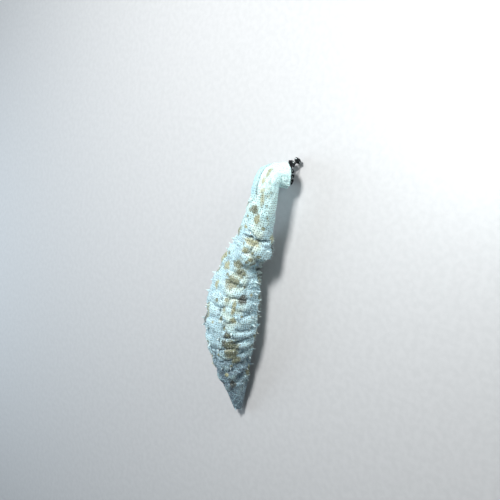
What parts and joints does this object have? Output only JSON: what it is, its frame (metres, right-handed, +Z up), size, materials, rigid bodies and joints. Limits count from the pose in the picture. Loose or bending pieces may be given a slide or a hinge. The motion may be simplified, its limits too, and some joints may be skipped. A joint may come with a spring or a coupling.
{
  "type": "sea cucumber",
  "caption": "Still life-size sea cucumber lying on its tube feet, with puffy warty skin, a lifted neck and a ring of leaf-ended tentacles under its head.",
  "frame": {"origin": "middle of the bounding box at floor level, under the middle of the body", "axes": "+Z up, the head end towards -Y, the animal's left side towards +X"},
  "size_m": [0.0804, 0.2793, 0.0545],
  "materials": {
    "skin": "soft wet skin, pale blue-white with fine dark dots and brown blotches",
    "mouth": "soft dark skin round the mouth",
    "tentacle": "soft black skin with pale edges"
  },
  "bodies": {
    "root": {"tail": "skin", "trunk_rear": "skin", "trunk_middle": "skin", "trunk_front": "skin", "neck_lower": "skin", "neck_upper": "skin", "head": "skin", "oral_disc": "mouth", "tentacle_01": "tentacle", "tentacle_02": "tentacle", "tentacle_03": "tentacle", "tentacle_04": "tentacle", "tentacle_05": "tentacle", "tentacle_06": "tentacle", "tentacle_07": "tentacle", "tentacle_08": "tentacle", "tentacle_09": "tentacle", "tentacle_10": "tentacle", "tentacle_11": "tentacle", "tentacle_12": "tentacle", "tentacle_13": "tentacle", "tentacle_14": "tentacle", "tentacle_15": "tentacle", "tentacle_16": "tentacle", "tentacle_17": "tentacle", "tentacle_18": "tentacle", "tentacle_19": "tentacle", "tentacle_20": "tentacle"}
  },
  "joints": []
}
